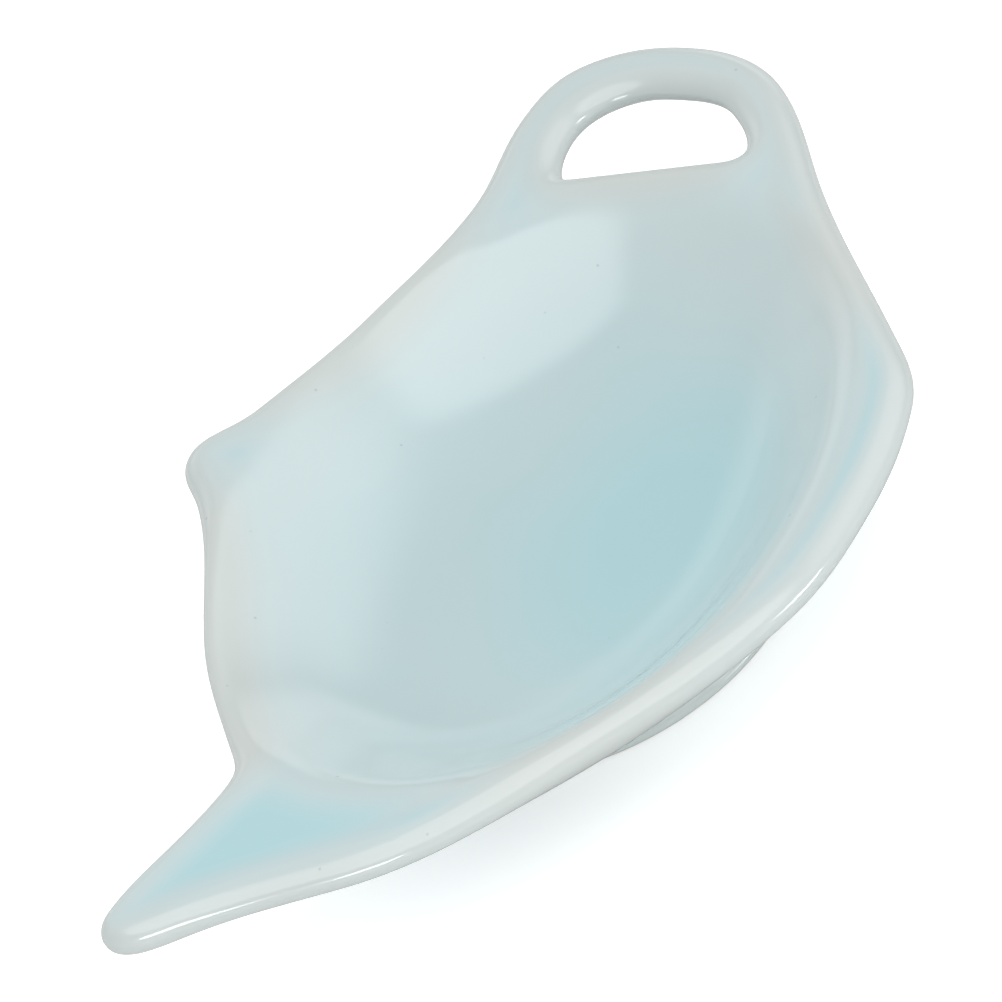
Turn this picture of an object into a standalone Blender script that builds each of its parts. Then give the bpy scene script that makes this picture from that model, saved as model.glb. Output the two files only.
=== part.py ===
"""Teapot-shaped tea bag holder: a shallow glazed dish with a spout, a looped handle and a lid knob.

The origin is on the table under the middle of the dish. +X runs from the spout to the handle and
+Y from the base edge to the lid knob. The clay pieces are luted together, and each seam shows as a
narrow gap between two of them.
"""
import math

import bmesh
import bpy
from mathutils import Matrix, Vector

MM = 0.001

# Overall sizes
LENGTH = 124 * MM
WIDTH = 80 * MM
HEIGHT = 17.4 * MM

# Clay thicknesses: the edge is fully round, all the way round the outline
EDGE_THICKNESS = 4.8 * MM
WALL_THICKNESS = 3.5 * MM

# The oval well: how far its edge stays inside each side, how far it is turned, and its section
HANDLE_WEB = 3.7 * MM
SPOUT_WEB = 2.7 * MM
BASE_RIM = 6 * MM
KNOB_RIM = 9.2 * MM
WELL_TURN = math.radians(10)
WELL_SLOPE = math.radians(45)
SHOULDER_RADIUS = 4 * MM
SHOULDER_START = math.radians(15)
FLOOR_FILLET = 12 * MM

# The oval foot ring: how far it stays inside the well's edge, and the clear height under the floor
FOOT_END_INSET = 15.8 * MM
FOOT_SIDE_INSET = 8.7 * MM
FOOT_RIM = 3.5 * MM
FOOT_LIFT = 2.5 * MM
FOOT_ROUNDING = 0.6 * MM

# Spout, handle and lid knob: reach from the tip to the seam, the handle's bar and the finger hole
SPOUT_REACH = 17.5 * MM
SPOUT_HIGH = 14 * MM
SPOUT_BLUNT = 1.1 * MM
HANDLE_REACH = 17.1 * MM
HANDLE_FLAT = 0.9 * MM
HANDLE_ROOT = 6.8 * MM
KNOB_HEIGHT = 5.2 * MM
HOLE_HIGH = 15.7 * MM
HOLE_CORNER = 1.6 * MM
HOLE_LOW_HEADING = 14
HOLE_HIGH_HEADING = 235
SEAM_TILT = math.radians(11.5)
SEAM_GAP = 0.3 * MM
HANDLE_STUB = 1.2 * MM

# Smoothness of the curves
CURVE_PULL = 0.36
CURVE_STEPS = 5
LIP_STEPS = 2
ARC_STEPS = 5
TURN_STEPS = 72
WELD = 0.00001

# Places that follow from the sizes above
LEFT = -LENGTH / 2
RIGHT = LENGTH / 2
BASE = -WIDTH / 2
TOP = WIDTH / 2
LIP = EDGE_THICKNESS / 2
RIM_MIDDLE = HEIGHT - LIP
RIM_UNDERSIDE = HEIGHT - EDGE_THICKNESS
FLOOR = FOOT_LIFT + WALL_THICKNESS
HANDLE_BAR = EDGE_THICKNESS + HANDLE_FLAT
HOLE_SIDE = RIGHT - HANDLE_REACH
SPOUT_SEAM = LEFT + SPOUT_REACH
WELL_LEFT = SPOUT_SEAM + SPOUT_WEB
WELL_RIGHT = HOLE_SIDE - HANDLE_WEB
WELL_LOW = BASE + BASE_RIM
WELL_HIGH = TOP - KNOB_RIM
WELL_CENTRE = ((WELL_LEFT + WELL_RIGHT) / 2, (WELL_LOW + WELL_HIGH) / 2)
WELL_RADIUS = (WELL_HIGH - WELL_LOW) / 2
WELL_REACH = (WELL_RIGHT - WELL_LEFT) / 2
FOOT_RADIUS = WELL_RADIUS - FOOT_SIDE_INSET
FOOT_REACH = WELL_REACH - FOOT_END_INSET

# The flange round the well: angle round the oval, its breadth there, and the outline's turn to the oval
HANDLE_FLANK = (
    (-80.7, 6.4 * MM, -1),
    (-67, 4 * MM, 14),
    (-31.6, 4.9 * MM, -23),
)
HANDLE_SHOULDER = (
    (31.9, 6.2 * MM, 37),
    (53.6, 1.3 * MM, 4),
)
SPOUT_SHOULDER = (
    (116.8, 0.4 * MM, 1),
    (141.9, 1.2 * MM, -12),
)
SPOUT_FLANK = (
    (-141.5, 1.8 * MM, -3),
    (-115.4, 4.7 * MM, -11),
)

# The parts that stand out from the flange, as anchors of x, y and heading in degrees
HANDLE_LINE = (
    (RIGHT - 5 * MM, -1.5 * MM, 48),
    (RIGHT, 12.5 * MM, 90),
    (RIGHT - 4 * MM, 24 * MM, 133),
    (RIGHT - 12 * MM, 26.7 * MM, 177),
)
KNOB_LINE = (
    (6 * MM, TOP - 4.5 * MM, 155),
    (-0.5 * MM, TOP, 180),
    (-6.5 * MM, TOP - 5 * MM, 221),
)
SPOUT_LINE = (
    (SPOUT_SEAM + 2.5 * MM, 10 * MM, 174),
    (LEFT + LIP + SPOUT_BLUNT, SPOUT_HIGH, 176),
    (LEFT, SPOUT_HIGH - LIP, 270),
    (LEFT + 2.5 * MM, 6.5 * MM, 306),
    (SPOUT_SEAM - 7 * MM, -8 * MM, 298),
)


def clear_scene():
    """Remove every object that is already in the scene."""
    for old in list(bpy.data.objects):
        bpy.data.objects.remove(old, do_unlink=True)


def new_collection(name):
    """Return a new collection, linked to the scene."""
    collection = bpy.data.collections.new(name)
    bpy.context.scene.collection.children.link(collection)
    return collection


def glazed_or_bare(name, colour, roughness):
    """Return a ceramic material of one colour and roughness."""
    material = bpy.data.materials.new(name)
    material.use_nodes = True
    shader = material.node_tree.nodes["Principled BSDF"]
    shader.inputs["Base Color"].default_value = (*colour, 1)
    shader.inputs["Roughness"].default_value = roughness
    shader.inputs["Metallic"].default_value = 0
    return material


def direction(heading):
    """Return the flat unit vector that points along a heading in degrees."""
    angle = math.radians(heading)
    return Vector((math.cos(angle), math.sin(angle), 0))


def beside_well(angle, breadth, turn):
    """Return the outline's anchor at an angle round the well's oval, where the flange has a breadth."""
    across = WELL_RADIUS + breadth
    along = WELL_REACH + breadth
    round_oval = math.radians(angle)
    place = Vector((along * math.cos(round_oval), across * math.sin(round_oval), 0))
    tangent = math.atan2(across * math.cos(round_oval), -along * math.sin(round_oval))
    place.rotate(Matrix.Rotation(WELL_TURN, 3, "Z"))
    place += Vector((*WELL_CENTRE, 0))
    return (*place.xy, math.degrees(tangent + WELL_TURN) + turn)


def outline():
    """Return the whole outline's anchors, counter-clockwise from the middle of the base."""
    anchors = [(0, BASE, 0)]
    anchors += [beside_well(*place) for place in HANDLE_FLANK]
    anchors += HANDLE_LINE
    anchors += [beside_well(*place) for place in HANDLE_SHOULDER]
    anchors += KNOB_LINE
    anchors += [beside_well(*place) for place in SPOUT_SHOULDER]
    anchors += SPOUT_LINE
    anchors += [beside_well(*place) for place in SPOUT_FLANK]
    return anchors


def inset(anchor, distance):
    """Return the point that lies a distance inside the outline at one of its anchors."""
    x, y, heading = anchor
    return Vector((x, y, 0)) + direction(heading + 90) * distance


def past_hole_side(point):
    """Return how far along X a point lies past the finger hole's straight side."""
    return point.x + math.tan(SEAM_TILT) * point.y - HOLE_SIDE


def finger_hole():
    """Return the finger hole's anchors: a straight side along the bowl, then the bar's inner line."""
    down = math.degrees(SEAM_TILT) - 90
    high_corner = Vector((HOLE_SIDE - math.tan(SEAM_TILT) * HOLE_HIGH, HOLE_HIGH, 0))
    root = inset(beside_well(*HANDLE_FLANK[-1]), HANDLE_ROOT)
    bar = inset(HANDLE_LINE[0], HANDLE_BAR)
    low_corner = root.lerp(bar, past_hole_side(root) / (past_hole_side(root) - past_hole_side(bar)))
    anchors = [
        (*(high_corner + direction(down) * HOLE_CORNER).xy, down),
        (*(low_corner - direction(down) * HOLE_CORNER).xy, down),
        (*(low_corner + direction(HOLE_LOW_HEADING) * HOLE_CORNER).xy, HOLE_LOW_HEADING),
    ]
    for anchor in HANDLE_LINE:
        anchors.append((*inset(anchor, HANDLE_BAR).xy, anchor[2]))
    last = high_corner - direction(HOLE_HIGH_HEADING) * HOLE_CORNER
    anchors.append((*last.xy, HOLE_HIGH_HEADING))
    return anchors


def add_spline(curve, anchors):
    """Add a closed smooth spline that passes each anchor along its heading."""
    spline = curve.splines.new("BEZIER")
    spline.bezier_points.add(len(anchors) - 1)
    spline.use_cyclic_u = True
    places = [Vector((x, y, 0)) for x, y, _ in anchors]
    for index, (point, here) in enumerate(zip(spline.bezier_points, places)):
        ahead = direction(anchors[index][2])
        before = places[index - 1]
        after = places[(index + 1) % len(places)]
        point.handle_left_type = "FREE"
        point.handle_right_type = "FREE"
        point.co = here
        point.handle_left = here - ahead * CURVE_PULL * (here - before).length
        point.handle_right = here + ahead * CURVE_PULL * (after - here).length


def plate_mesh():
    """Return the mesh of the whole flat dish with its finger hole and its round edge."""
    curve = bpy.data.curves.new("plate", "CURVE")
    curve.dimensions = "2D"
    curve.fill_mode = "BOTH"
    curve.resolution_u = CURVE_STEPS
    curve.bevel_depth = LIP
    curve.bevel_resolution = LIP_STEPS
    curve.offset = -LIP
    add_spline(curve, outline())
    add_spline(curve, finger_hole())
    guide = bpy.data.objects.new("plate", curve)
    bpy.context.scene.collection.objects.link(guide)
    evaluated = guide.evaluated_get(bpy.context.evaluated_depsgraph_get())
    mesh = bpy.data.meshes.new_from_object(evaluated)
    bpy.data.objects.remove(guide, do_unlink=True)
    shape = bmesh.new()
    shape.from_mesh(mesh)
    bmesh.ops.remove_doubles(shape, verts=shape.verts, dist=WELD)
    bmesh.ops.recalc_face_normals(shape, faces=shape.faces)
    shape.to_mesh(mesh)
    shape.free()
    return mesh


def arc(centre, radius, start, end):
    """Return points of a section's arc, by angles from straight down, towards the outside."""
    points = []
    for step in range(ARC_STEPS + 1):
        angle = start + (end - start) * step / ARC_STEPS
        points.append((centre[0] + radius * math.sin(angle), centre[1] - radius * math.cos(angle)))
    return points


def shoulder_line():
    """Return the rounded shoulder of the well's section, from above the rim down to the slope."""
    points = []
    for step in range(ARC_STEPS):
        angle = SHOULDER_START / 2 + (WELL_SLOPE - SHOULDER_START / 2) * step / (ARC_STEPS - 1)
        radius = WELL_RADIUS + SHOULDER_RADIUS * (math.sin(SHOULDER_START) - math.sin(angle))
        height = HEIGHT + SHOULDER_RADIUS * (math.cos(angle) - math.cos(SHOULDER_START))
        points.append((radius, height))
    return points


def fillet_centre():
    """Return the centre of the arc that joins the well's slope to its floor."""
    slope_radius, slope_top = shoulder_line()[-1]
    slope_foot = FLOOR + FLOOR_FILLET * (1 - math.cos(WELL_SLOPE))
    run = (slope_top - slope_foot) / math.tan(WELL_SLOPE)
    return slope_radius - run - FLOOR_FILLET * math.sin(WELL_SLOPE), FLOOR + FLOOR_FILLET


def well_section():
    """Return the section of the hollow, from its axis above the rim to its axis at the floor."""
    shoulder = shoulder_line()
    above = HEIGHT + EDGE_THICKNESS
    rounded = arc(fillet_centre(), FLOOR_FILLET, WELL_SLOPE, 0)
    return [(0, above), (shoulder[0][0], above), *shoulder, *rounded, (0, FLOOR)]


def outer_section(clearance):
    """Return the section of the bowl's outside, grown by a clearance, from inside the rim to its axis."""
    thickness = WALL_THICKNESS + clearance
    rounded = arc(fillet_centre(), FLOOR_FILLET + thickness, WELL_SLOPE, 0)
    slope_radius, slope_foot = rounded[0]
    reach = slope_radius + (RIM_UNDERSIDE - slope_foot) / math.tan(WELL_SLOPE)
    return [(0, RIM_MIDDLE), (reach, RIM_MIDDLE), (reach, RIM_UNDERSIDE), *rounded, (0, FLOOR - thickness)]


def foot_section():
    """Return the closed section of the foot ring's blank, which reaches up into the bowl."""
    inner = FOOT_RADIUS - FOOT_RIM
    outer_arc = arc((FOOT_RADIUS - FOOT_ROUNDING, FOOT_ROUNDING), FOOT_ROUNDING, math.pi / 2, 0)
    inner_arc = arc((inner + FOOT_ROUNDING, FOOT_ROUNDING), FOOT_ROUNDING, 0, -math.pi / 2)
    outer_top = (FOOT_RADIUS, RIM_UNDERSIDE)
    return [outer_top, *outer_arc, *inner_arc, (inner, RIM_UNDERSIDE), outer_top]


def add_object(name, mesh, collection, origin):
    """Add an object to a collection, carried by the origin empty."""
    thing = bpy.data.objects.new(name, mesh)
    collection.objects.link(thing)
    thing.parent = origin
    return thing


def turned(name, section, stretch, collection, origin):
    """Add a turned shape about the well's axis, stretched along the well's length."""
    mesh = bpy.data.meshes.new(name)
    points = [(radius, 0, height) for radius, height in section]
    mesh.from_pydata(points, [(index, index + 1) for index in range(len(points) - 1)], [])
    thing = add_object(name, mesh, collection, origin)
    thing.location = (*WELL_CENTRE, 0)
    thing.rotation_euler.z = WELL_TURN
    thing.scale.x = stretch
    screw = thing.modifiers.new("Turn", "SCREW")
    screw.steps = TURN_STEPS
    screw.render_steps = TURN_STEPS
    screw.use_merge_vertices = True
    screw.merge_threshold = WELD
    return thing


def seam_block(name, point, heading, clearance, collection, origin):
    """Add a block that covers everything past a seam, from its clearance outwards."""
    shape = bmesh.new()
    bmesh.ops.create_cube(shape, size=LENGTH)
    mesh = bpy.data.meshes.new(name)
    shape.to_mesh(mesh)
    shape.free()
    block = add_object(name, mesh, collection, origin)
    block.location = Vector((*point, RIM_MIDDLE)) + direction(heading) * (clearance + LENGTH / 2)
    block.rotation_euler.z = math.radians(heading)
    return block


def as_cutter(thing):
    """Mark an object as a guide that isn't part of the dish."""
    thing.hide_render = True
    thing.display_type = "WIRE"
    return thing


def combine(thing, operation, cutter):
    """Join, cut or keep an object's volume with a cutter."""
    boolean = thing.modifiers.new(cutter.name, "BOOLEAN")
    boolean.operation = operation
    boolean.solver = "EXACT"
    boolean.object = cutter


def finish(thing, material):
    """Close the tiny edges that the cuts leave, and give a piece its material and smooth shading."""
    weld = thing.modifiers.new("Weld", "WELD")
    weld.merge_threshold = WELD
    thing.data.materials.clear()
    thing.data.materials.append(material)
    thing.data.shade_smooth()


def build():
    """Build the five clay pieces."""
    clear_scene()
    pieces = new_collection("tea_bag_holder")
    cutters = new_collection("cutters")
    glaze = glazed_or_bare("pale_blue_glaze", (0.52, 0.66, 0.68), 0.08)
    bare_clay = glazed_or_bare("bare_clay", (0.78, 0.74, 0.66), 0.75)
    origin = bpy.data.objects.new("dish_origin", None)
    pieces.objects.link(origin)
    plate = plate_mesh()
    plate.transform(Matrix.Translation((0, 0, RIM_MIDDLE)))

    seams = {
        "spout": ((SPOUT_SEAM, 0), 180 - math.degrees(SEAM_TILT)),
        "handle_loop": ((HOLE_SIDE + HANDLE_STUB, 0), math.degrees(SEAM_TILT)),
        "lid_knob": ((0, TOP - KNOB_HEIGHT), 90),
    }
    well_stretch = WELL_REACH / WELL_RADIUS
    bowl = add_object("bowl", plate.copy(), pieces, origin)
    outside = turned("bowl_outside", outer_section(0), well_stretch, cutters, origin)
    hollow = turned("well", well_section(), well_stretch, cutters, origin)
    combine(bowl, "UNION", as_cutter(outside))
    combine(bowl, "DIFFERENCE", as_cutter(hollow))
    finish(bowl, glaze)
    for name, (point, heading) in seams.items():
        removed = seam_block(f"{name}_cut", point, heading, 0, cutters, origin)
        kept = seam_block(f"{name}_keep", point, heading, SEAM_GAP, cutters, origin)
        combine(bowl, "DIFFERENCE", as_cutter(removed))
        piece = add_object(name, plate.copy(), pieces, origin)
        combine(piece, "INTERSECT", as_cutter(kept))
        finish(piece, glaze)

    foot = turned("foot_ring", foot_section(), FOOT_REACH / FOOT_RADIUS, pieces, origin)
    seat = turned("foot_seat", outer_section(SEAM_GAP), well_stretch, cutters, origin)
    combine(foot, "DIFFERENCE", as_cutter(seat))
    finish(foot, bare_clay)
    bpy.data.meshes.remove(plate)


build()
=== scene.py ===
"""Looks of a teapot-shaped tea bag holder in pale blue glazed ceramic.

The dish is one glazed skin over clay: a full round edge, a flat flange, an oval well with a soft
shoulder, and a low foot. The skin is shaped whole, so that nothing shows where the clay was luted, and
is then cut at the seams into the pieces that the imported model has. Lengths are in millimetres until a
mesh is made, and angles in degrees.
"""
import logging
import math
from dataclasses import dataclass, field
from enum import Enum
from functools import partial

import bmesh
import bpy
import numpy as np
from mathutils import Matrix, Vector
from mathutils.geometry import delaunay_2d_cdt
from mathutils.kdtree import KDTree


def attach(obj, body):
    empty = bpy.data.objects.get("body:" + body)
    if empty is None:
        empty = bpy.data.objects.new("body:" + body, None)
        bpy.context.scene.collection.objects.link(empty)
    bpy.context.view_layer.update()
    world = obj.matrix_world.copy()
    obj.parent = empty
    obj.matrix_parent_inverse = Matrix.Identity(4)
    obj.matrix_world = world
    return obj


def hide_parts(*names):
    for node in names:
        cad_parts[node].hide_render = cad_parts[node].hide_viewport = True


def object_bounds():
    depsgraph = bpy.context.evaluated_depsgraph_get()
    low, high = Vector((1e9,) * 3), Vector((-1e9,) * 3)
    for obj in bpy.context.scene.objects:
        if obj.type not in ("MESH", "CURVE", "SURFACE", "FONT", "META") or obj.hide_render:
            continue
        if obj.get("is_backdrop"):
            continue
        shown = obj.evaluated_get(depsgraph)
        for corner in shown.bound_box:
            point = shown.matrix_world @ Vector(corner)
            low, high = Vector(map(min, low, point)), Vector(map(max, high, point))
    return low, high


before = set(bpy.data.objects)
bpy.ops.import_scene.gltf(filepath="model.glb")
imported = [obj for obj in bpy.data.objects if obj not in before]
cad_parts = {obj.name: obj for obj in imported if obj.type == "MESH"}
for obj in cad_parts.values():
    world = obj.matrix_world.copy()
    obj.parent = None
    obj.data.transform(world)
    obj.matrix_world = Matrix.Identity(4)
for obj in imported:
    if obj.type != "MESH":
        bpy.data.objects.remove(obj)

Array = np.ndarray
Anchor = tuple[float, float, float]

LOG = logging.getLogger("tea_bag_holder")
MM = 0.001
BODY = "root"
GLAZE_DEPTH = "glaze_depth"
SKIN_NORMAL = "skin_normal"
CURVE_PULL = 0.36  # a plan curve's handles, as a share of the way to the next anchor
CURVE_STEPS = 40  # points drawn from one anchor to the next
INSIDE_BORDERS = 1  # the triangulation's own code for filling what its borders enclose
PLAN_TOLERANCE = 1e-6  # in millimetres
CUT_TOLERANCE = 1e-7  # in metres
SKIN_CORNERS = 4  # a face with more corners lies at a cut, and stays flat


class Slot(Enum):
    """The record's finishes."""

    GLAZE = "pale_blue_glaze"
    BARE = "bare_clay"


class Side(Enum):
    """Which side of a seam a piece keeps."""

    INNER = "inner"
    OUTER = "outer"


def linear(code: str) -> tuple[float, float, float, float]:
    """Turn an sRGB hex colour into linear values, by the standard's own curve.

    Args:
        code: the colour as six hex digits

    Returns:
        Linear red, green, blue and an alpha of 1.
    """
    values = [int(code[place:place + 2], 16) / 255 for place in (0, 2, 4)]
    red, green, blue = (v / 12.92 if v <= 0.04045 else ((v + 0.055) / 1.055) ** 2.4 for v in values)
    return red, green, blue, 1.0


def add_node(
    tree: bpy.types.NodeTree,
    kind: str,
    settings: dict | None = None,
    links: dict | None = None,
) -> bpy.types.Node:
    """Add a node with its settings and links.

    Args:
        tree: the node tree that takes it
        kind: the node's type
        settings: values by the name of a property or input, or by an input's number
        links: sockets that feed it, by the name or number of an input

    Returns:
        The new node.
    """
    node = tree.nodes.new(kind)
    for name, value in (settings or {}).items():
        if isinstance(name, int) or name in node.inputs:
            node.inputs[name].default_value = value
        else:
            setattr(node, name, value)
    for name, socket in (links or {}).items():
        tree.links.new(socket, node.inputs[name])
    return node


def start_material(name: str, roughness: float) -> tuple[bpy.types.Material, bpy.types.Node]:
    """Start a material from the plain shader.

    Args:
        name: the real material's name
        roughness: how rough its surface is, from 0 to 1

    Returns:
        The material and its shader.
    """
    material = bpy.data.materials.new(name)
    material.use_nodes = True
    shader = material.node_tree.nodes["Principled BSDF"]
    shader.inputs["Roughness"].default_value = roughness
    return material, shader


def add_object(name: str, data: bpy.types.ID) -> bpy.types.Object:
    """Put a new object into the scene.

    Args:
        name: the object's name
        data: its mesh, lamp or lens

    Returns:
        The object.
    """
    made = bpy.data.objects.new(name, data)
    bpy.context.scene.collection.objects.link(made)
    return made


def per_metre(size: float) -> float:
    """Return the texture scale whose pattern repeats about every so many millimetres."""
    return 1 / (size * MM)


def smooth_step(low: float, high: float, values: Array) -> Array:
    """Return an even rise from 0 at low to 1 at high."""
    share = np.clip((values - low) / (high - low), 0, 1)
    return share * share * (3 - 2 * share)


def smooth_min(first: Array, second: Array, reach: float | Array) -> Array:
    """Return the lower of two heights, with a round join that begins where they are a reach apart."""
    share = np.clip(0.5 + (second - first) / (2 * reach), 0, 1)
    return second + (first - second) * share - reach * share * (1 - share)


def heading_vector(heading: float) -> Array:
    """Return the flat unit vector along a heading in degrees."""
    return np.array((math.cos(math.radians(heading)), math.sin(math.radians(heading))))


def toward(azimuth: float, elevation: float) -> Vector:
    """Return the unit vector at an azimuth, from the front towards the handle, and an elevation."""
    turn, rise = math.radians(azimuth), math.radians(elevation)
    return Vector((math.sin(turn) * math.cos(rise), -math.cos(turn) * math.cos(rise), math.sin(rise)))


def inside(points: Array, loop: Array) -> Array:
    """Tell which flat points lie inside a closed loop.

    Args:
        points: flat points, one a row
        loop: the loop's corners, one a row

    Returns:
        True for each point inside.
    """
    found = np.zeros(len(points), bool)
    for start, end in zip(loop, np.roll(loop, -1, axis=0)):
        crossed = (start[1] > points[:, 1]) != (end[1] > points[:, 1])
        if crossed.any():
            share = (points[crossed, 1] - start[1]) / (end[1] - start[1])
            found[crossed] ^= points[crossed, 0] < start[0] + share * (end[0] - start[0])
    return found


@dataclass
class PlanLoop:
    """A closed line of the plan, evenly spaced, with the way into the clay at each point."""

    points: Array
    into_clay: Array

    @classmethod
    def through(cls, anchors: list[Anchor], spacing: float, softness: float, hole: bool) -> "PlanLoop":
        """Draw a loop that passes each anchor along its heading.

        Args:
            anchors: x, y and heading in degrees, counter-clockwise
            spacing: distance between the loop's points
            softness: length over which bends are evened out
            hole: whether the clay lies outside the loop

        Returns:
            The loop.
        """
        share = np.linspace(0, 1, CURVE_STEPS, endpoint=False)[:, None]
        drawn = []
        for here, after in zip(anchors, anchors[1:] + anchors[:1]):
            start, end = np.array(here[:2]), np.array(after[:2])
            reach = CURVE_PULL * np.linalg.norm(end - start)
            leave = start + heading_vector(here[2]) * reach
            arrive = end - heading_vector(after[2]) * reach
            drawn.append(
                start * (1 - share) ** 3
                + leave * 3 * share * (1 - share) ** 2
                + arrive * 3 * share**2 * (1 - share)
                + end * share**3
            )
        line = np.concatenate([*drawn, drawn[0][:1]])
        travelled = np.concatenate([[0], np.cumsum(np.linalg.norm(np.diff(line, axis=0), axis=1))])
        count = round(travelled[-1] / spacing)
        even = np.arange(count) * travelled[-1] / count
        x, y = (np.interp(even, travelled, values) for values in line.T)
        spun = np.fft.fft(x + 1j * y)
        waves = np.fft.fftfreq(count, travelled[-1] / count)
        spun *= np.exp(-2 * (math.pi * waves * softness) ** 2)
        points = np.fft.ifft(spun)
        tangents = np.fft.ifft(2j * math.pi * waves * spun)
        inward = (-1j if hole else 1j) * tangents / np.abs(tangents)
        return cls(np.stack([points.real, points.imag], 1), np.stack([inward.real, inward.imag], 1))

    def inset(self, distance: Array) -> Array:
        """Return the loop's points, each moved its own distance into the clay."""
        return self.points + self.into_clay * distance[:, None]


@dataclass
class DishForm:
    """The dish's shape: its plan, and the heights of its upper face and its underside.

    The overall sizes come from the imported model, and the other sizes are the part's own.
    """

    low: Array
    high: Array
    edge_thickness: float = 3.6
    edge_round: float = 2.5  # breadth of the edge's rounding
    edge_squareness: float = 1.8
    under_squareness: float = 2.2
    wall_thickness: float = 3.5
    handle_web: float = 3.65  # from the well's end to the finger hole
    spout_web: float = 2.7  # from the spout's seam to the well's end
    base_rim: float = 6.0
    knob_rim: float = 9.2
    well_turn: float = 10.0
    well_slope: float = 40.0
    floor_fillet: float = 21.0
    foot_lift: float = 2.5
    spout_reach: float = 17.5
    spout_high: float = 14.0
    spout_blunt: float = 0.4
    spout_round: float = 2.2
    tip_span: tuple[float, float] = (2.0, 6.0)  # where the edge's rounding widens, in tip radii
    handle_reach: float = 17.15
    handle_flat: float = 2.4  # how much broader the handle's bar is than the edge is thick
    handle_root: float = 5.9
    knob_height: float = 5.2
    hole_high: float = 17.1
    hole_corner: float = 1.1
    hole_tight_corner: float = 0.3
    bar_growth: tuple[float, float, float] = (-0.8, 0.3, 0.6)  # low on the bar, at its side and high
    hole_low_heading: float = 16.0
    hole_high_heading: float = 222.0
    seam_tilt: float = 11.5
    handle_stub: float = 1.6  # from the finger hole's straight side to the handle's seam
    shoulder_reach: tuple[float, float] = (1.3, 1.8)  # rounding on a narrow flange and on a broad one
    broad_flange: tuple[float, float] = (2.5, 6.0)
    well_mouth: float = 0.1
    well_inset: float = 0.9  # from the outline to where its cut holds
    well_shift: tuple[float, float] = (0.18, 0.36)
    under_reach: float = 3.0
    flange_dip: float = 0.25
    dip_inset: float = 5.4  # from the outline to the full dip
    spout_tip_growth: float = 0.4  # makes up for what the evened bends take off the tip
    bend_softness: float = 0.8
    hole_softness: float = 0.9

    def __post_init__(self) -> None:
        """Work out the places that follow from the sizes."""
        self.left, self.base = self.low[:2]
        self.right, self.top, self.height = self.high
        self.lip = self.edge_thickness / 2
        self.rim_middle = self.height - self.lip
        self.floor = self.foot_lift + self.wall_thickness
        self.handle_bar = self.edge_thickness + self.handle_flat
        self.hole_side = self.right - self.handle_reach
        self.spout_seam = self.left + self.spout_reach
        ends = self.spout_seam + self.spout_web, self.hole_side - self.handle_web
        sides = self.base + self.base_rim, self.top - self.knob_rim
        self.well_centre = np.array((sum(ends) / 2, sum(sides) / 2))
        self.well_radius = (sides[1] - sides[0]) / 2
        self.well_reach = (ends[1] - ends[0]) / 2
        self.tilt = math.tan(math.radians(self.seam_tilt))
        self.along, self.across = heading_vector(self.well_turn), heading_vector(self.well_turn + 90)

    def oval_to_plan(self, points: Array) -> Array:
        """Return the places in plan of points given along and across the well."""
        return self.well_centre + points[:, :1] * self.along + points[:, 1:] * self.across

    def well_distance(self, points: Array) -> Array:
        """Return how far out from the well's axis places in plan lie, measured across the oval."""
        moved = points - self.well_centre
        return np.hypot(moved @ self.along * self.well_radius / self.well_reach, moved @ self.across)

    def beside_well(self, angle: float, breadth: float, turn: float) -> Anchor:
        """Find the outline's anchor where the flange has a breadth.

        Args:
            angle: place round the oval, in degrees
            breadth: the flange's breadth there
            turn: how far the outline turns from the oval's own heading, in degrees

        Returns:
            The anchor.
        """
        along, across = heading_vector(angle) * (self.well_reach + breadth, self.well_radius + breadth)
        ahead = math.atan2(
            (self.well_radius + breadth) * math.cos(math.radians(angle)),
            -(self.well_reach + breadth) * math.sin(math.radians(angle)),
        )
        x, y = self.oval_to_plan(np.array([[along, across]]))[0]
        return x, y, math.degrees(ahead) + self.well_turn + turn

    def handle_line(self) -> list[Anchor]:
        """Return the outline's anchors round the handle."""
        return [
            (self.right - 5, -1.5, 48),
            (self.right, 12.5, 90),
            (self.right - 4, 24, 133),
            (self.right - 12, 26.7, 177),
        ]

    def handle_flank(self) -> list[Anchor]:
        """Return the outline's anchors from the base to the handle."""
        return [
            self.beside_well(-80.7, 6.4, -1),
            self.beside_well(-67, 4, 14),
            self.beside_well(-31.6, 4.9, -23),
        ]

    def outline(self) -> list[Anchor]:
        """Return the whole outline's anchors, counter-clockwise from the middle of the base."""
        tip = self.left - self.spout_tip_growth
        return [
            (0, self.base, 0),
            *self.handle_flank(),
            *self.handle_line(),
            self.beside_well(31.9, 6.2, 37),
            self.beside_well(53.6, 1.3, 4),
            (6, self.top - 4.5, 155),
            (-0.5, self.top, 180),
            (-6.8, self.top - 4.8, 221),
            self.beside_well(116.8, 0.4, 1),
            self.beside_well(141.9, 1.2, -12),
            (self.spout_seam + 2.5, 10, 174),
            (tip + self.spout_round + self.spout_blunt, self.spout_high, 176),
            (tip, self.spout_high - self.spout_round, 270),
            (tip + 2.5, 6.5, 306),
            (self.spout_seam - 7, -8, 298),
            self.beside_well(-141.5, 1.8, -3),
            self.beside_well(-115.4, 4.7, -11),
        ]

    def finger_hole(self) -> list[Anchor]:
        """Lay out the finger hole: a straight side along the bowl, then the bar's inner line.

        Returns:
            The hole's anchors, counter-clockwise.
        """

        def within(anchor: Anchor, distance: float) -> Array:
            """Return the point a distance inside the outline at an anchor."""
            return np.array(anchor[:2]) + heading_vector(anchor[2] + 90) * distance

        def past_side(point: Array) -> float:
            """Return how far a point lies past the hole's straight side."""
            return point[0] + self.tilt * point[1] - self.hole_side

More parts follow.
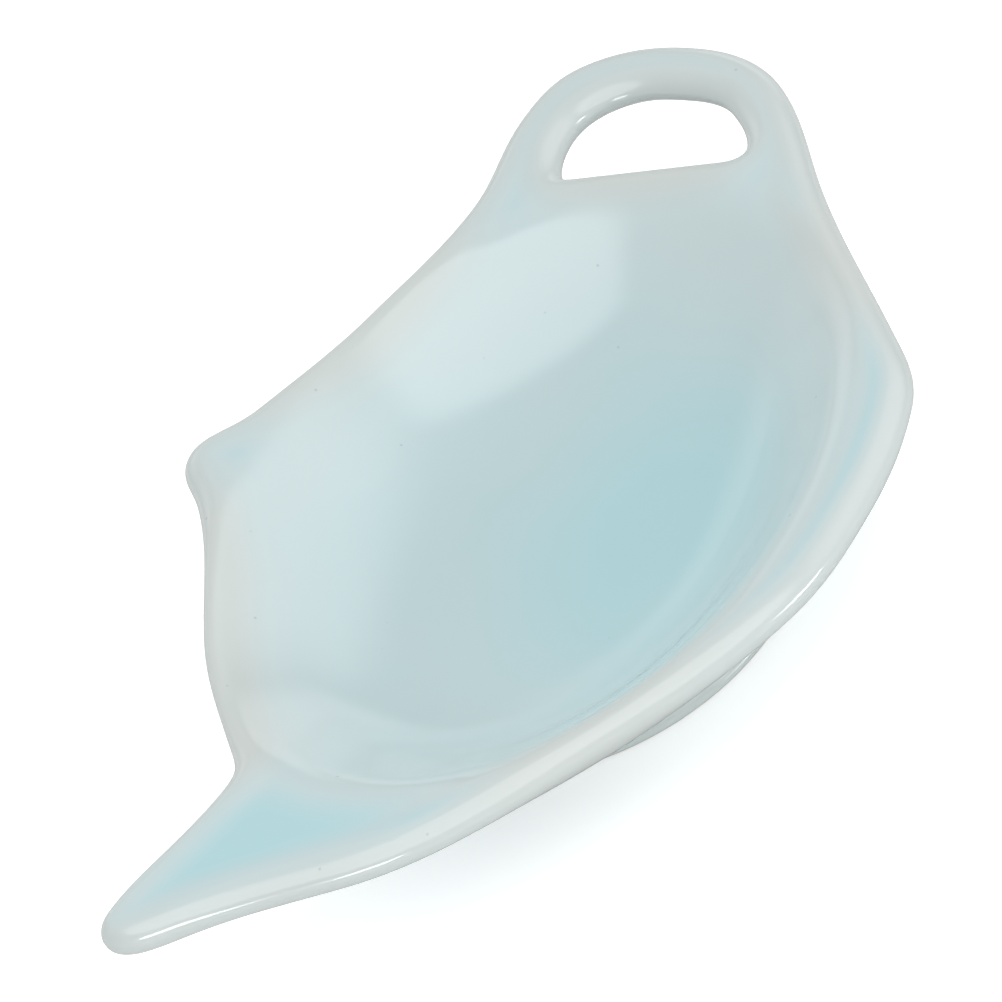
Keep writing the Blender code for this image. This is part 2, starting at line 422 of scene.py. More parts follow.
        lower, outer, _, upper = self.handle_line()
        down = self.seam_tilt - 90
        high = np.array((self.hole_side - self.tilt * self.hole_high, self.hole_high))
        root = within(self.handle_flank()[-1], self.handle_root)
        bar = within(lower, self.handle_bar)
        low = root + (bar - root) * past_side(root) / (past_side(root) - past_side(bar))
        corners = [
            (high + heading_vector(down) * self.hole_tight_corner, down),
            (low - heading_vector(down) * self.hole_corner, down),
            (low + heading_vector(self.hole_low_heading) * self.hole_corner, self.hole_low_heading),
        ]
        for anchor, growth in zip((lower, outer, upper), self.bar_growth):
            corners.append((within(anchor, self.handle_bar + growth), anchor[2]))
        last = high - heading_vector(self.hole_high_heading) * self.hole_tight_corner
        corners.append((last, self.hole_high_heading))
        return [(*place, heading) for place, heading in corners]

    def bowl_profile(self, distance: Array, thickness: float) -> Array:
        """Return the height of the well's wall, or of a wall that runs a thickness outside it.

        Args:
            distance: distances from the well's axis, across the oval
            thickness: how far the wall lies outside the well

        Returns:
            Heights, with the slope carried on upwards past the rim.
        """
        slope = math.radians(self.well_slope)
        radius = self.floor_fillet + thickness
        drop = self.floor_fillet * (1 - math.cos(slope))
        mouth = self.well_radius + self.well_mouth
        wall_run = (self.height - self.floor - drop) / math.tan(slope)
        middle = mouth - wall_run - self.floor_fillet * math.sin(slope)
        out = np.clip(distance - middle, 0, radius * math.sin(slope))
        rest = np.maximum(distance - middle - radius * math.sin(slope), 0)
        bottom = self.floor - thickness
        return bottom + radius - np.sqrt(radius**2 - out**2) + rest * math.tan(slope)

    def edge_reach(self, points: Array) -> Array:
        """Work out how far in the edge's rounding reaches, which is less at the spout's tight tip.

        Args:
            points: places in plan

        Returns:
            Distances inside the outline.
        """
        tip = np.array((self.left, self.spout_high - self.spout_round))
        near, far = (radii * self.spout_round for radii in self.tip_span)
        clear = smooth_step(near, far, np.hypot(*(points - tip).T))
        return self.lip + (self.edge_round - self.lip) * clear

    def edge_half(self, depth: Array, reach: Array, squareness: float) -> Array:
        """Return how far the edge has turned from its middle, evenly round where squareness is 2."""
        left = np.clip(1 - depth / reach, 0, 1)
        return self.lip * (1 - left**squareness) ** (1 / squareness)

    def upper_height(self, points: Array, depth: Array) -> Array:
        """Return the upper face's heights.

        Args:
            points: places in plan
            depth: distance of each place inside the outline or the finger hole's edge

        Returns:
            Heights above the table.
        """
        reach = self.edge_reach(points)
        flange = self.rim_middle + self.edge_half(depth, reach, self.edge_squareness)
        flange = flange - self.flange_dip * smooth_step(reach, self.dip_inset, depth)
        well = self.bowl_profile(self.well_distance(points - np.array(self.well_shift)), 0)
        tight, soft = self.shoulder_reach
        cut = smooth_min(flange, well, tight + (soft - tight) * smooth_step(*self.broad_flange, depth))
        return flange + (cut - flange) * smooth_step(0, self.well_inset, depth)

    def under_height(self, points: Array, depth: Array) -> Array:
        """Return the underside's heights, without the foot.

        Args:
            points: places in plan
            depth: distance of each place inside the outline or the finger hole's edge

        Returns:
            Heights above the table.
        """
        flange = self.rim_middle - self.edge_half(depth, self.edge_reach(points), self.under_squareness)
        out = self.well_distance(points - np.array(self.well_shift))
        joined = smooth_min(flange, self.bowl_profile(out, self.wall_thickness), self.under_reach)
        return flange + (joined - flange) * smooth_step(0, self.lip, depth)


@dataclass
class GlazedSkin:
    """The whole outer skin of the plate and the bowl, as one closed mesh with its depth of glaze."""

    form: DishForm
    spacing: float = 0.5
    coat: float = 0.2
    lip_steps: int = 9
    evening_rounds: int = 8
    normal_rounds: int = 2
    ring_span: tuple[float, float] = (-7.0, 2.5)  # past the well's rim
    ring_gap: float = 0.3
    ring_step: float = 0.5
    thinnest: float = 0.1
    flange_share: float = 0.72
    flange_clear: float = 0.5
    flange_gather: float = 7.0
    trough_share: float = 0.45
    trough_depth: float = 3.0
    trough_breadth: float = 1.2
    trough_end: tuple[float, float] = (-8.0, -16.0)
    shoulder_share: float = 0.24
    shoulder_breadth: float = 2.2
    wall_breadth: float = 8.0
    well_share: float = 0.15
    well_span: tuple[float, float] = (3.0, -4.0)
    pool_share: float = 0.33
    pool_shift: tuple[float, float] = (4.0, -9.0)
    pool_span: tuple[float, float] = (24.0, 4.0)
    pool_edge: tuple[float, float] = (-3.0, -14.0)
    spout_share: float = 0.22
    spout_start: tuple[float, float] = (-3.0, 3.0)
    spout_clear: tuple[float, float] = (0.4, 2.2)

    def build(self) -> bpy.types.Mesh:
        """Shape the skin.

        Returns:
            A closed mesh in metres, with each point's normal and depth of glaze.
        """
        form = self.form
        loops = [
            PlanLoop.through(form.outline(), self.spacing, form.bend_softness, False),
            PlanLoop.through(form.finger_hole(), self.spacing, form.hole_softness, True),
        ]
        for loop in loops:
            loop.points = loop.inset(np.full(len(loop.points), -self.coat))
        plan, triangles, rim_count = self._field(loops)
        depth = self._depth(plan, loops)
        evened = spread(depth[:, None], edge_pairs(triangles), self.evening_rounds)[:, 0]
        depth = np.where(np.arange(len(plan)) < rim_count, 0, evened)
        depth = np.maximum(depth, form.edge_reach(plan))
        faces: list[list[int]] = []
        places = []
        for upper in (True, False):
            heights = (form.upper_height if upper else form.under_height)(plan, depth)
            faces += ((triangles if upper else triangles[:, ::-1]) + len(plan) * (not upper)).tolist()
            places.append(np.column_stack([plan, heights]))
        self._add_edge(loops, places, faces)
        mesh = bpy.data.meshes.new("skin")
        points = np.concatenate(places)
        mesh.from_pydata((points * MM).tolist(), [], faces)
        mesh.validate()
        self._add_attributes(mesh, self._glaze(points[:, :2], self._depth(points[:, :2], loops)))
        return mesh

    def _field(self, loops: list[PlanLoop]) -> tuple[Array, Array, int]:
        """Fill the plan inside the round edge with even triangles.

        Args:
            loops: the outline and the finger hole

        Returns:
            Points in plan, triangles, and how many of the points lie on the round edge's inner rim.
        """
        rims = [loop.inset(self.form.edge_reach(loop.points)) for loop in loops]
        row = self.spacing * math.sqrt(3) / 2
        low, high = rims[0].min(0), rims[0].max(0)
        columns = np.arange(low[0], high[0], self.spacing)
        lines = np.arange(low[1], high[1], row)
        grid = np.array(
            [(x + self.spacing / 2 * (index % 2), y) for index, y in enumerate(lines) for x in columns]
        )
        rings, clear = self._shoulder_rings(grid)
        grid = np.concatenate([grid[clear], rings])
        grid = grid[inside(grid, rims[0]) & ~inside(grid, rims[1])]
        grid = grid[self._depth(grid, loops) > self.form.edge_reach(grid) + self.spacing / 2]
        plan = np.concatenate([*rims, grid])
        borders, start = [], 0
        for rim in rims:
            turn = np.arange(len(rim))
            borders += np.column_stack([turn + start, np.roll(turn, -1) + start]).tolist()
            start += len(rim)
        corners, _, filled, origins, *_ = delaunay_2d_cdt(
            [Vector(point) for point in plan], borders, [], INSIDE_BORDERS, PLAN_TOLERANCE
        )
        if len(corners) != len(plan):
            raise ValueError("the round edge's inner rim crosses itself")
        order = np.array([found[0] for found in origins])
        triangles = order[np.array([list(face) for face in filled])]
        middles = plan[triangles].mean(1)
        triangles = triangles[inside(middles, rims[0]) & ~inside(middles, rims[1])]
        return plan, triangles, start

    def _shoulder_rings(self, grid: Array) -> tuple[Array, Array]:
        """Lay close rings of points along the well's shoulder, where the surface turns most.

        Args:
            grid: the even points of the plan

        Returns:
            The rings' points, and which points of the grid lie clear of them.
        """
        form = self.form
        shift = np.array(form.well_shift)
        low, high = (form.well_radius + past for past in self.ring_span)
        stretch = form.well_reach / form.well_radius
        count = round(2 * math.pi * form.well_radius / self.ring_step)
        rings = []
        for row, out in enumerate(np.arange(low, high, self.ring_gap)):
            turns = 2 * math.pi * (np.arange(count) + row % 2 / 2) / count
            oval = np.column_stack([stretch * np.cos(turns), np.sin(turns)]) * out
            rings.append(form.oval_to_plan(oval) + shift)
        out = form.well_distance(grid - shift)
        return np.concatenate(rings), (out < low - self.ring_gap) | (out > high + self.ring_gap)

    def _depth(self, points: Array, loops: list[PlanLoop]) -> Array:
        """Measure how far points lie from the nearest edge.

        Args:
            points: places in plan
            loops: the outline and the finger hole

        Returns:
            The distance of each point.
        """
        line = np.concatenate([loop.points for loop in loops])
        tree = KDTree(len(line))
        for index, point in enumerate(line):
            tree.insert((*point, 0), index)
        tree.balance()
        return np.array([tree.find((*point, 0))[2] for point in points])

    def _add_edge(self, loops: list[PlanLoop], places: list[Array], faces: list[list[int]]) -> None:
        """Add the round edge between the upper face and the underside.

        Args:
            loops: the outline and the finger hole
            places: blocks of points, with the upper face's and the underside's first
            faces: the skin's faces, which grow
        """
        field_count = len(places[0])
        total = 2 * field_count
        rim_start = 0
        for loop, hole in zip(loops, (False, True)):
            count = len(loop.points)
            rims = [np.arange(count) + rim_start]
            for step in range(2 * self.lip_steps - 1):
                angle = math.pi / 2 * (1 - (step + 1) / self.lip_steps)
                upper = angle >= 0
                squareness = self.form.edge_squareness if upper else self.form.under_squareness
                depth = self.form.edge_reach(loop.points) * (1 - math.cos(angle) ** (2 / squareness))
                plan = loop.inset(depth)
                height = self.form.upper_height if upper else self.form.under_height
                places.append(np.column_stack([plan, height(plan, depth)]))
                rims.append(np.arange(count) + total)
                total += count
            rims.append(np.arange(count) + rim_start + field_count)
            for above, below in zip(rims, rims[1:]):
                quads = np.column_stack([above, below, np.roll(below, -1), np.roll(above, -1)])
                faces += (quads[:, ::-1] if hole else quads).tolist()
            rim_start += count

    def _glaze(self, plan: Array, depth: Array) -> Array:
        """Work out how deep the glaze lies.

        It runs thin over the edge and the well's shoulder, and gathers on the flange, on the spout and
        in the narrow trough between edge and shoulder. In the well it lies a little thinner, and it lies
        deeper on the floor, most towards the base and a little towards the handle.

        Args:
            plan: places in plan
            depth: distance of each place inside the outline or the finger hole's edge

        Returns:
            Values from 0, where the clay shows through, to 1 in the deepest pool.
        """
        past = self.form.well_distance(plan) - self.form.well_radius
        flange = smooth_step(self.flange_clear, self.flange_gather, depth)
        along = ((depth - self.trough_depth) / self.trough_breadth) ** 2
        beside = ((past - self.trough_depth) / (2 * self.trough_breadth)) ** 2
        trough = np.exp(-along - beside) * smooth_step(*self.trough_end, plan[:, 1])
        shoulder = np.exp(-((past / np.where(past > 0, self.shoulder_breadth, self.wall_breadth)) ** 2))
        from_pool = self.form.well_distance(plan - np.array(self.pool_shift))
        pool = smooth_step(*self.pool_span, from_pool) * smooth_step(*self.pool_edge, past)
        pool = self.pool_share * pool - self.well_share * smooth_step(*self.well_span, past)
        spout = smooth_step(*self.spout_start, self.form.spout_seam - plan[:, 0])
        spout *= smooth_step(*self.spout_clear, depth)
        gathered = self.flange_share * flange + self.trough_share * trough + self.spout_share * spout
        return np.clip(self.thinnest + gathered - self.shoulder_share * shoulder + pool, 0, 1)

    def _add_attributes(self, mesh: bpy.types.Mesh, glaze: Array) -> None:
        """Give each point of the skin its normal and its depth of glaze.

        Args:
            mesh: the skin
            glaze: the depth of glaze at each point
        """
        normals = np.zeros(len(mesh.vertices) * 3, np.float32)
        mesh.vertex_normals.foreach_get("vector", normals)
        pairs = np.zeros(len(mesh.edges) * 2, np.int32)
        mesh.edges.foreach_get("vertices", pairs)
        normals = spread(normals.reshape(-1, 3), pairs.reshape(-1, 2), self.normal_rounds)
        normals /= np.linalg.norm(normals, axis=1, keepdims=True)
        depths = mesh.attributes.new(GLAZE_DEPTH, "FLOAT", "POINT")
        depths.data.foreach_set("value", glaze.astype(np.float32))
        stored = mesh.attributes.new(SKIN_NORMAL, "FLOAT_VECTOR", "POINT")
        stored.data.foreach_set("vector", normals.astype(np.float32).ravel())


def edge_pairs(triangles: Array) -> Array:
    """Return each edge of some triangles once, as a pair of points."""
    sides = np.concatenate([triangles[:, [0, 1]], triangles[:, [1, 2]], triangles[:, [2, 0]]])
    return np.unique(np.sort(sides, axis=1), axis=0)


def spread(values: Array, pairs: Array, rounds: int) -> Array:
    """Even out values over a mesh, each round halfway to the mean of the neighbours.

    Args:
        values: one row for each point
        pairs: the mesh's edges
        rounds: how many times

    Returns:
        The evened values.
    """
    size = len(values)
    ends, starts = np.concatenate([pairs, pairs[:, ::-1]]).T
    shares = np.maximum(np.bincount(ends, minlength=size), 1)
    for _ in range(rounds):
        means = [np.bincount(ends, column[starts], size) / shares for column in values.T]
        values = (values + np.stack(means, 1)) / 2
    return values


@dataclass(frozen=True)
class PaleBlueGlaze:
    """Glossy pale blue glaze on white earthenware, dipped and fired.

    The glaze is a clear blue glass. Where it runs thin over edges the pale clay shows through, and where
    it gathers on flats it looks bluer. The fired surface mirrors soft lamps, with a faint waviness and
    a few small dark pits.
    """

    name: str = "pale_blue_glazed_earthenware"
    thin: str = "BFC6C4"
    middle: str = "BBCBCD"
    deep: str = "A8CACF"
    speck: str = "88979A"
    roughness: float = 0.08
    index: float = 1.6
    cloud_size: float = 14.0
    wave_size: float = 9.0
    wave_height: float = 0.02
    speck_gap: float = 5.0
    speck_radius: float = 0.2
    speck_strength: float = 0.7
    cloud_drift: float = 0.08  # how much deeper or thinner the glaze looks in a cloud
    middle_depth: float = 0.55  # the depth of glaze that has the middle colour

    def material(self) -> bpy.types.Material:
        """Mix the glaze.

        Returns:
            The material, which reads the depth of glaze from the mesh.
        """
        material, shader = start_material(self.name, self.roughness)
        tree = material.node_tree
        add = partial(add_node, tree)
        shader.inputs["IOR"].default_value = self.index
        place = add("ShaderNodeTexCoord").outputs["Object"]
        depth = add("ShaderNodeAttribute", {"attribute_name": GLAZE_DEPTH}).outputs["Fac"]
        clouds = add(
            "ShaderNodeTexNoise", {"Scale": per_metre(self.cloud_size), "Detail": 2.0}, {"Vector": place}
        )
        drift = add(
            "ShaderNodeMapRange",
            {"To Min": -self.cloud_drift, "To Max": self.cloud_drift},
            {"Value": clouds.outputs["Fac"]},
        )
        uneven = add("ShaderNodeMath", {"operation": "ADD"}, {0: depth, 1: drift.outputs["Result"]})
        ramp = add("ShaderNodeValToRGB", links={"Fac": uneven.outputs["Value"]})
        ramp.color_ramp.elements[0].color = linear(self.thin)
        ramp.color_ramp.elements[1].color = linear(self.deep)
        ramp.color_ramp.elements.new(self.middle_depth).color = linear(self.middle)
        cells = add("ShaderNodeTexVoronoi", {"Scale": per_metre(self.speck_gap)}, {"Vector": place})
        specks = add(
            "ShaderNodeMapRange",
            {"From Min": self.speck_radius / self.speck_gap, "From Max": 0, "To Max": self.speck_strength},
            {"Value": cells.outputs["Distance"]},
        )
        tint = add(
            "ShaderNodeMix",
            {"data_type": "RGBA", 7: linear(self.speck)},
            {0: specks.outputs["Result"], 6: ramp.outputs["Color"]},
        )
        tree.links.new(tint.outputs[2], shader.inputs["Base Color"])
        waves = add(
            "ShaderNodeTexNoise", {"Scale": per_metre(self.wave_size), "Detail": 1.0}, {"Vector": place}
        )
        pitted = add(
            "ShaderNodeMath",
            {"operation": "SUBTRACT"},
            {0: waves.outputs["Fac"], 1: specks.outputs["Result"]},
        )
        bump = add(
            "ShaderNodeBump",
            {"Distance": self.wave_height * MM, "Strength": 1.0},
            {"Height": pitted.outputs["Value"]},
        )
        tree.links.new(bump.outputs["Normal"], shader.inputs["Normal"])
        return material


@dataclass(frozen=True)
class BareClay:
    """Unglazed white earthenware, wiped clean for the kiln shelf: matt, chalky and gritty.

    Real grit is too fine to show, so it is drawn coarser.
    """

    name: str = "bare_white_earthenware"
    pale: str = "E4E9E6"
    dark: str = "D4DAD7"
    roughness: float = 0.8
    grit_size: float = 0.5
    grit_height: float = 0.04

    def material(self) -> bpy.types.Material:
        """Mix the clay.

        Returns:
            The material.
        """
        material, shader = start_material(self.name, self.roughness)
        tree = material.node_tree
        add = partial(add_node, tree)
        place = add("ShaderNodeTexCoord").outputs["Object"]
        grit = add(
            "ShaderNodeTexNoise", {"Scale": per_metre(self.grit_size), "Detail": 4.0}, {"Vector": place}
        )
        ramp = add("ShaderNodeValToRGB", links={"Fac": grit.outputs["Fac"]})
        ramp.color_ramp.elements[0].color = linear(self.dark)
        ramp.color_ramp.elements[1].color = linear(self.pale)
        tree.links.new(ramp.outputs["Color"], shader.inputs["Base Color"])
        bump = add("ShaderNodeBump", {"Distance": self.grit_height * MM}, {"Height": grit.outputs["Fac"]})
        tree.links.new(bump.outputs["Normal"], shader.inputs["Normal"])
        return material


@dataclass
class Seam:
    """A plane where a clay piece is luted to the bowl."""

    point: tuple[float, float]
    heading: float

    def cut(self, shape: bmesh.types.BMesh, side: Side) -> None:
        """Cut a closed shape at the seam, drop what lies past it, and close the cut.

        Args:
            shape: the shape, in metres
            side: which side is kept
        """
        made = bmesh.ops.bisect_plane(
            shape,
            geom=[*shape.verts, *shape.edges, *shape.faces],
            plane_co=Vector((*self.point, 0)) * MM,
            plane_no=Vector((*heading_vector(self.heading), 0)),
            dist=CUT_TOLERANCE,
            clear_outer=side is Side.INNER,
            clear_inner=side is Side.OUTER,
        )
        rim = [item for item in made["geom_cut"] if isinstance(item, bmesh.types.BMEdge)]
        bmesh.ops.edgeloop_fill(shape, edges=rim, use_smooth=False)


@dataclass
class ClayPiece:
    """One luted piece of the dish, cut from the whole skin."""

    name: str
    cuts: list[tuple[Seam, Side]] = field(default_factory=list)

    def build(self, skin: bpy.types.Mesh) -> bpy.types.Object:
        """Cut the piece from the skin.

        Args:
            skin: the whole closed skin

        Returns:
            The piece, with the whole skin's normals so that its seams don't show.
        """
        shape = bmesh.new()
        shape.from_mesh(skin)
        for seam, side in self.cuts:
            seam.cut(shape, side)
        bmesh.ops.recalc_face_normals(shape, faces=shape.faces)
        for face in shape.faces:
            face.smooth = len(face.verts) <= SKIN_CORNERS
        mesh = bpy.data.meshes.new(self.name)
        shape.to_mesh(mesh)
        shape.free()
        self._keep_normals(mesh)
        return add_object(f"glazed_{self.name}", mesh)

    def _keep_normals(self, mesh: bpy.types.Mesh) -> None:
        """Use the stored skin normals on the smooth faces.

        Args:
            mesh: the piece's mesh
        """
        normals = np.zeros(len(mesh.vertices) * 3, np.float32)
        mesh.attributes[SKIN_NORMAL].data.foreach_get("vector", normals)
        corners = np.zeros(len(mesh.loops), np.int32)
        mesh.loops.foreach_get("vertex_index", corners)
        wanted = normals.reshape(-1, 3)[corners]
        for face in mesh.polygons:
            if not face.use_smooth:
                wanted[face.loop_start:face.loop_start + face.loop_total] = 0
        mesh.normals_split_custom_set(wanted.tolist())
        mesh.attributes.remove(mesh.attributes[SKIN_NORMAL])

    def dress(self, piece: bpy.types.Object, glaze: bpy.types.Material) -> None:
        """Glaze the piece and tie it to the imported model.

        Args:
            piece: the built piece
            glaze: its material
        """
        piece.data.materials.append(glaze)
        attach(piece, BODY)
        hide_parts(self.name)


@dataclass
class FootRing:
    """The low oval ring under the bowl: a round bead on a hollow neck, with a bare standing face."""

    form: DishForm
    end_inset: float = 17.6
    side_inset: float = 8.7
    breadth: float = 3.5
    bead: float = 0.6
    bead_turn: float = 55.0
    flare: float = 1.2
    overlap: float = 0.1
    bare_height: float = 0.2
    glaze_depth: float = 0.1
    shift: tuple[float, float] = (-0.9, 0.5)
    round_steps: int = 8
    turn_steps: int = 288

    def build(self) -> bpy.types.Object:
        """Shape the ring, with its top let into the bowl's underside.

        Returns:
            The ring, with its standing face in the second material.
        """
        form = self.form
        outer = form.well_radius - self.side_inset
        stretch = (form.well_reach - self.end_inset) / outer
        section = self._section(outer)
        count = self.turn_steps
        turns = np.linspace(0, 2 * math.pi, count, endpoint=False)
        depth = np.full(count, 2 * form.edge_round)  # any distance past the edge's rounding
        rows = []
        for out, height, climb in section:
            oval = np.column_stack([out * stretch * np.cos(turns), out * np.sin(turns)])
            plan = form.oval_to_plan(oval) + np.array(self.shift)
            under = form.under_height(plan, depth)
            rows.append(np.column_stack([plan, height + climb * (under - height)]))
        faces, bare = [], []
        for row in range(len(section)):
            after = (row + 1) % len(section)
            first, second = np.arange(count) + row * count, np.arange(count) + after * count
            faces += np.column_stack([first, np.roll(first, -1), np.roll(second, -1), second]).tolist()
            ends = section[row], section[after]
            low = all(height < self.bare_height and climb == 0 for _, height, climb in ends)
            bare += [int(low)] * count
        mesh = bpy.data.meshes.new("foot_ring")
        mesh.from_pydata((np.concatenate(rows) * MM).tolist(), [], faces)
        mesh.polygons.foreach_set("material_index", bare)
        glaze = mesh.attributes.new(GLAZE_DEPTH, "FLOAT", "POINT")
        glaze.data.foreach_set("value", np.full(len(mesh.vertices), self.glaze_depth, np.float32))
        shape = bmesh.new()
        shape.from_mesh(mesh)
        bmesh.ops.recalc_face_normals(shape, faces=shape.faces)
        shape.to_mesh(mesh)
        shape.free()
        mesh.shade_smooth()
        return add_object("glazed_foot_ring", mesh)

    def _section(self, outer: float) -> list[tuple[float, float, float]]:
        """Return the ring's closed section.

        Args:
            outer: the ring's radius across the oval

        Returns:
            Distances from the axis, heights above the table, and shares of the climb from that height
            to the bowl's underside.
        """
        half = self.breadth / 2
        turn = math.radians(self.bead_turn)
        side = []
        neck = half - self.bead * (1 - math.cos(turn))
        neck_height = self.bead * (1 + math.sin(turn))
        for angle in np.linspace(math.pi / 2, 0, self.round_steps + 1):
            side.append((neck + self.flare * (1 - math.cos(angle)), neck_height, math.sin(angle)))
        for angle in np.linspace(turn, -math.pi / 2, 2 * self.round_steps + 1)[1:]:
            out = half - self.bead * (1 - math.cos(angle))
            side.append((out, self.bead * (1 + math.sin(angle)), 0.0))
        middle = outer - half
        section = [(middle + out, height, climb) for out, height, climb in side]
        section += [(middle - out, height, climb) for out, height, climb in side[::-1]]
        top = 1 + self.overlap / (self.form.foot_lift - neck_height)
        return section + [(middle - half, neck_height, top), (middle + half, neck_height, top)]

    def dress(self, piece: bpy.types.Object, glaze: bpy.types.Material, bare: bpy.types.Material) -> None:
        """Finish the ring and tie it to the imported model.

        Args:
            piece: the built ring
            glaze: the material of its sides
            bare: the material of its standing face
        """
        piece.data.materials.append(glaze)
        piece.data.materials.append(bare)
        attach(piece, BODY)
        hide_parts("foot_ring")


@dataclass
class Softbox:
    """A studio lamp behind an oval diffuser, bright in the middle and fading towards its rim.

    It hangs at a distance from the dish, and faces it or, where it is level, straight down.
    """

    name: str
    azimuth: float
    elevation: float
    distance: float
    size: tuple[float, float]
    radiance: float
    fade: float
    level: bool = False
    mirrored: bool = True

    def build(self) -> None:
        """Hang the lamp."""
        way = toward(self.azimuth, self.elevation)
        lamp = bpy.data.lights.new(self.name, "AREA")
        lamp.shape = "ELLIPSE"
        lamp.size, lamp.size_y = (side * MM for side in self.size)
        # the power of an evenly glowing oval, which is pi times its radiance times its area
        lamp.energy = self.radiance * math.pi * lamp.size * lamp.size_y * math.pi / 4
        self._fade(lamp)
        holder = add_object(self.name, lamp)
        holder.location = way * self.distance * MM
        if not self.level:
            holder.rotation_euler = way.to_track_quat("Z", "Y").to_euler()
        holder.visible_camera = False
        holder.visible_glossy = self.mirrored

    def _fade(self, lamp: bpy.types.AreaLight) -> None:
        """Let the diffuser's glow fall off over the outer share of its radius.

        Args:
            lamp: the lamp, whose surface runs from 0 to 1 each way
        """
        half = 0.5
        lamp.use_nodes = True
        tree = lamp.node_tree
        add = partial(add_node, tree)
        across = add("ShaderNodeNewGeometry").outputs["Parametric"]
        out = add("ShaderNodeVectorMath", {"operation": "DISTANCE", 1: (half, half, 0.0)}, {0: across})
        glow = add(
            "ShaderNodeMapRange",
            {"interpolation_type": "SMOOTHSTEP", "From Min": half, "From Max": half * (1 - self.fade)},
            {"Value": out.outputs["Value"]},
        )
        tree.links.new(glow.outputs["Result"], tree.nodes["Emission"].inputs["Strength"])


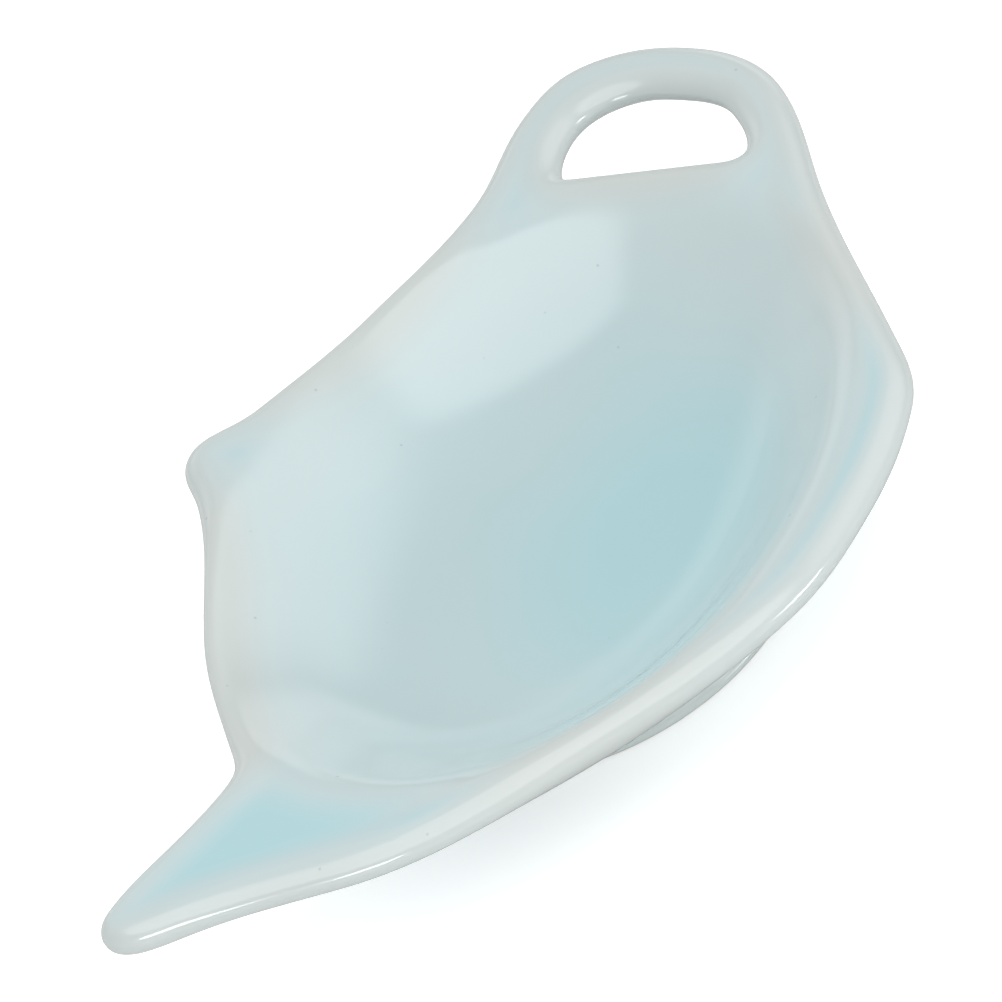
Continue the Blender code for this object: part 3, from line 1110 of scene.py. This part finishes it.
@dataclass
class Studio:
    """The pale floor, the lamps and the camera at the photograph's view.

    The photograph's glaze mirrors little, so the floor and the surround are darker in reflections.
    """

    target: tuple[float, float, float] = (-2.19, 1.01, 15.0)
    azimuth: float = -43.3
    elevation: float = 37.0
    roll: float = 28.0
    distance: float = 600.0
    focal_pixels: float = 6189.0
    frame_pixels: float = 1002.0
    sensor: float = 36.0
    floor_size: float = 6000.0
    floor_gap: float = 0.03  # keeps the floor out of the standing face's own plane
    surround: float = 0.33
    mirrored: float = 0.35
    floor_colour: str = "F2F2F2"
    mirrored_floor: str = "C6C6C6"
    floor_lift: float = 0.4
    lamps: list[Softbox] = field(default_factory=lambda: [
        Softbox("round_softbox_above", -49.0, 53.0, 1495, (2330, 2330), 1.55, 0.22, level=True),
        Softbox("broad_softbox_right", 66.0, 36.0, 1960, (3700, 2600), 1.04, 0.7),
        Softbox("broad_softbox_in_front", -20.0, 30.0, 1500, (2600, 1500), 0.2, 0.7),
        Softbox("pale_wall_behind", 160.0, 32.0, 1800, (3600, 2200), 1.35, 0.4, mirrored=False),
        Softbox("low_pale_wall_behind", 152.0, 15.0, 2000, (1900, 1100), 0.5, 0.8),
        Softbox("low_pale_wall_right", 111.0, 7.0, 2000, (1300, 850), 0.6, 0.6),
        Softbox("strip_beside_camera_left", -69.0, 11.0, 1300, (600, 320), 9.0, 0.3),
        Softbox("strip_beside_camera_right", 7.0, 11.0, 1300, (680, 320), 9.5, 0.3),
    ])

    def build(self) -> None:
        """Set up the whole studio."""
        self._floor()
        self._surround()
        for lamp in self.lamps:
            lamp.build()
        self._camera()
        bpy.context.scene.view_settings.view_transform = "Standard"

    def _floor(self) -> None:
        """Lay a plain pale floor that looks white to the camera and keeps the dish's shadow."""
        shape = bmesh.new()
        bmesh.ops.create_grid(shape, x_segments=1, y_segments=1, size=self.floor_size / 2 * MM)
        mesh = bpy.data.meshes.new("floor")
        shape.to_mesh(mesh)
        shape.free()
        floor = add_object("floor", mesh)
        floor.location.z = -self.floor_gap * MM
        material, shader = start_material("matt_white_paper", roughness=1.0)
        tree = material.node_tree
        add = partial(add_node, tree)
        shader.inputs["Specular IOR Level"].default_value = 0.0
        shader.inputs["Emission Color"].default_value = (1, 1, 1, 1)
        rays = add("ShaderNodeLightPath")
        paper = add(
            "ShaderNodeMix",
            {"data_type": "RGBA", 6: linear(self.floor_colour), 7: linear(self.mirrored_floor)},
            {0: rays.outputs["Is Glossy Ray"]},
        )
        tree.links.new(paper.outputs[2], shader.inputs["Base Color"])
        lift = add(
            "ShaderNodeMath",
            {"operation": "MULTIPLY", 1: self.floor_lift},
            {0: rays.outputs["Is Camera Ray"]},
        )
        tree.links.new(lift.outputs["Value"], shader.inputs["Emission Strength"])
        mesh.materials.append(material)
        floor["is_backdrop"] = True

    def _surround(self) -> None:
        """Make the world white to the camera, darker in reflections, and a plain light elsewhere."""
        world = bpy.data.worlds.new("white_surround")
        bpy.context.scene.world = world
        world.use_nodes = True
        tree = world.node_tree
        add = partial(add_node, tree)
        light = tree.nodes["Background"]
        light.inputs["Color"].default_value = (1, 1, 1, 1)
        rays = add("ShaderNodeLightPath")
        level = add(
            "ShaderNodeMapRange",
            {"To Min": self.surround, "To Max": self.mirrored},
            {"Value": rays.outputs["Is Glossy Ray"]},
        )
        seen = add(
            "ShaderNodeMath",
            {"operation": "MAXIMUM"},
            {0: level.outputs["Result"], 1: rays.outputs["Is Camera Ray"]},
        )
        tree.links.new(seen.outputs["Value"], light.inputs["Strength"])

    def _camera(self) -> None:
        """Place the camera at the photograph's view."""
        roll = math.radians(self.roll)
        back = toward(self.azimuth, self.elevation)
        level = Vector((*heading_vector(self.azimuth), 0))
        upright = back.cross(level)
        across = math.cos(roll) * level - math.sin(roll) * upright
        upward = math.sin(roll) * level + math.cos(roll) * upright
        lens = bpy.data.cameras.new("camera")
        lens.sensor_width = self.sensor
        lens.lens = self.focal_pixels / self.frame_pixels * self.sensor
        camera = add_object("camera", lens)
        placed = Matrix((across, upward, back)).transposed().to_4x4()
        placed.translation = (Vector(self.target) + back * self.distance) * MM
        camera.matrix_world = placed
        bpy.context.scene.camera = camera


def main() -> None:
    """Build the studio and the dish, and report each piece."""
    logging.basicConfig(level=logging.INFO, format="%(name)s: %(message)s")
    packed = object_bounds()
    form = DishForm(*(np.array(corner) / MM for corner in packed))
    Studio().build()
    glaze = PaleBlueGlaze().material()
    # The foot's glaze is drawn paler than the dish's thin glaze. This is partly its own thin coat, and
    # partly painted light that stands in for light that fails to reach under the lip.
    thin_glaze_and_painted_light = PaleBlueGlaze("thinly_glazed_earthenware_painted_lighter", thin="D2DAD8", middle="C8D4D4").material()
    bare = BareClay().material()
    skin = GlazedSkin(form).build()
    spout = Seam((form.spout_seam, 0), 180 - form.seam_tilt)
    handle = Seam((form.hole_side + form.handle_stub, 0), form.seam_tilt)
    knob = Seam((0, form.top - form.knob_height), 90)
    pieces = [
        ClayPiece("bowl", [(spout, Side.INNER), (handle, Side.INNER), (knob, Side.INNER)]),
        ClayPiece("spout", [(spout, Side.OUTER)]),
        ClayPiece("handle_loop", [(handle, Side.OUTER)]),
        ClayPiece("lid_knob", [(knob, Side.OUTER)]),
    ]
    for piece in pieces:
        made = piece.build(skin)
        piece.dress(made, glaze)
        LOG.info("%s has %d faces", made.name, len(made.data.polygons))
    ring = FootRing(form)
    made = ring.build()
    ring.dress(made, thin_glaze_and_painted_light, bare)
    LOG.info("%s has %d faces", made.name, len(made.data.polygons))
    bpy.data.meshes.remove(skin)


if __name__ == "__main__":
    main()
